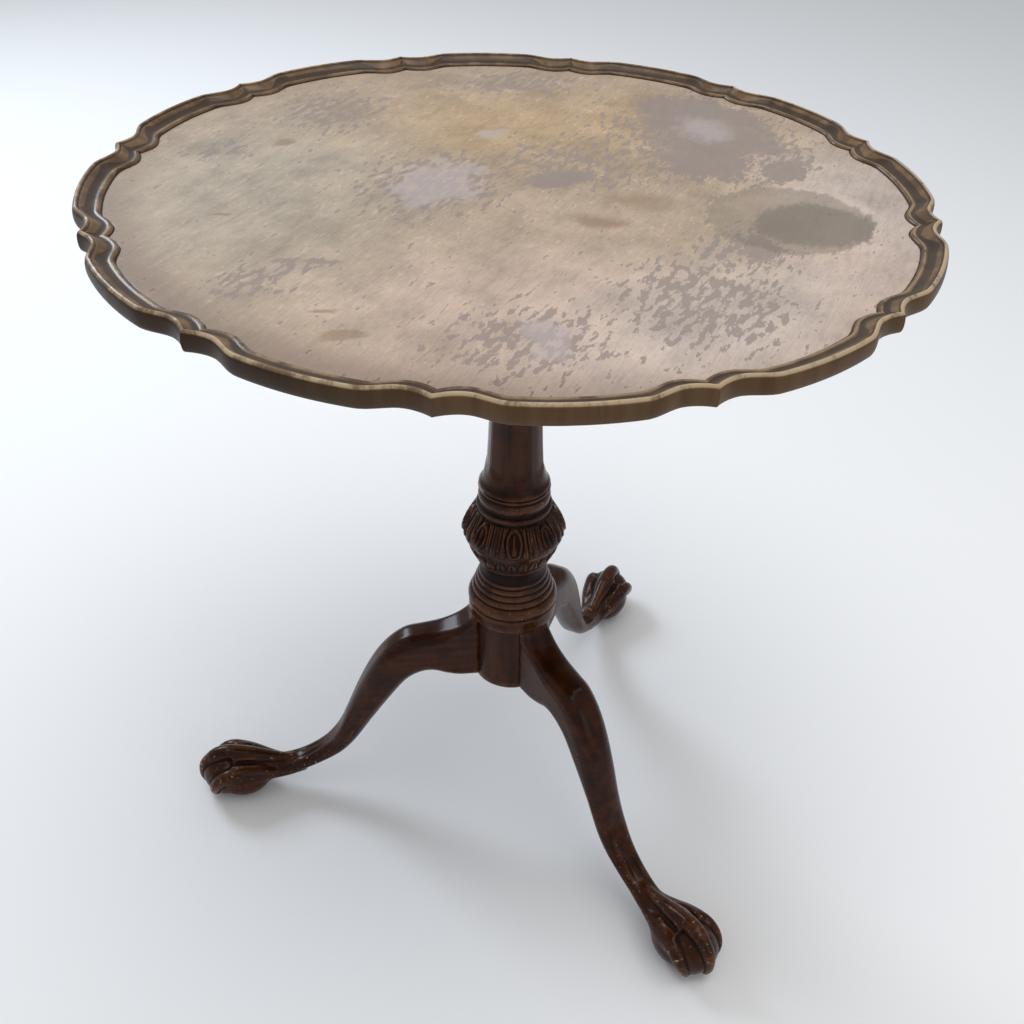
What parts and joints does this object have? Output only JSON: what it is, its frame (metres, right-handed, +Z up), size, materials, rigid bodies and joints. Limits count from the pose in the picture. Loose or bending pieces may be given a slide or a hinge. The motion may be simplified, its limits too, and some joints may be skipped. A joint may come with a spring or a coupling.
{
  "type": "tilt top table",
  "caption": "Round tilting table top with a scalloped moulded rim, on a turned fluted pillar and three cabriole legs with ball and claw feet.",
  "frame": {"origin": "on the floor under the pillar's axis", "axes": "+Z up; one leg points along -X; the top hinges on an axis along Y on the +X side of the pillar, between the other two legs"},
  "size_m": [0.6944, 0.6864, 0.713],
  "materials": {
    "top_wood": "sun-bleached, worn old polish with remnants of darker lacquer",
    "mahogany": "dark red-brown mahogany, glossy old wax polish",
    "inner_wood": "dry unpolished mahogany",
    "iron": "dark oxidised wrought iron",
    "brass": "dull old brass"
  },
  "bodies": {
    "stand": {"pillar_block": "inner_wood", "tenon_wedge": "inner_wood", "keeper_plate": "brass", "keeper_screw_1": "brass", "keeper_screw_2": "brass", "hinge_pin_near": "mahogany", "hinge_pin_far": "mahogany", "pillar": "mahogany", "leg_1": "mahogany", "leg_2": "mahogany", "leg_3": "mahogany", "brace_plate": "iron", "brace_screw_1": "iron", "brace_screw_2": "iron", "brace_screw_3": "iron", "brace_screw_4": "iron", "brace_screw_5": "iron", "brace_screw_6": "iron", "brace_screw_7": "iron"},
    "top": {"table_top": "top_wood", "batten_near": "inner_wood", "batten_far": "inner_wood", "batten_screw_1": "iron", "batten_screw_2": "iron", "batten_screw_3": "iron", "batten_screw_4": "iron", "batten_screw_5": "iron", "batten_screw_6": "iron", "batten_screw_7": "iron", "batten_screw_8": "iron", "catch_case": "brass", "catch_screw_1": "brass", "catch_screw_2": "brass", "catch_screw_3": "brass", "catch_screw_4": "brass"},
    "bolt": {"catch_bolt": "brass", "catch_knob": "brass"}
  },
  "joints": [
    {"name": "top_tilt", "type": "hinge", "parent": "stand", "child": "top", "pos_m": [0.061, 0, 0.682], "axis": [0, 1, 0], "range_deg": [0, 90]},
    {"name": "bolt_slide", "type": "slide", "parent": "top", "child": "bolt", "axis": [1, 0, 0], "range_m": [0, 0.008]}
  ]
}
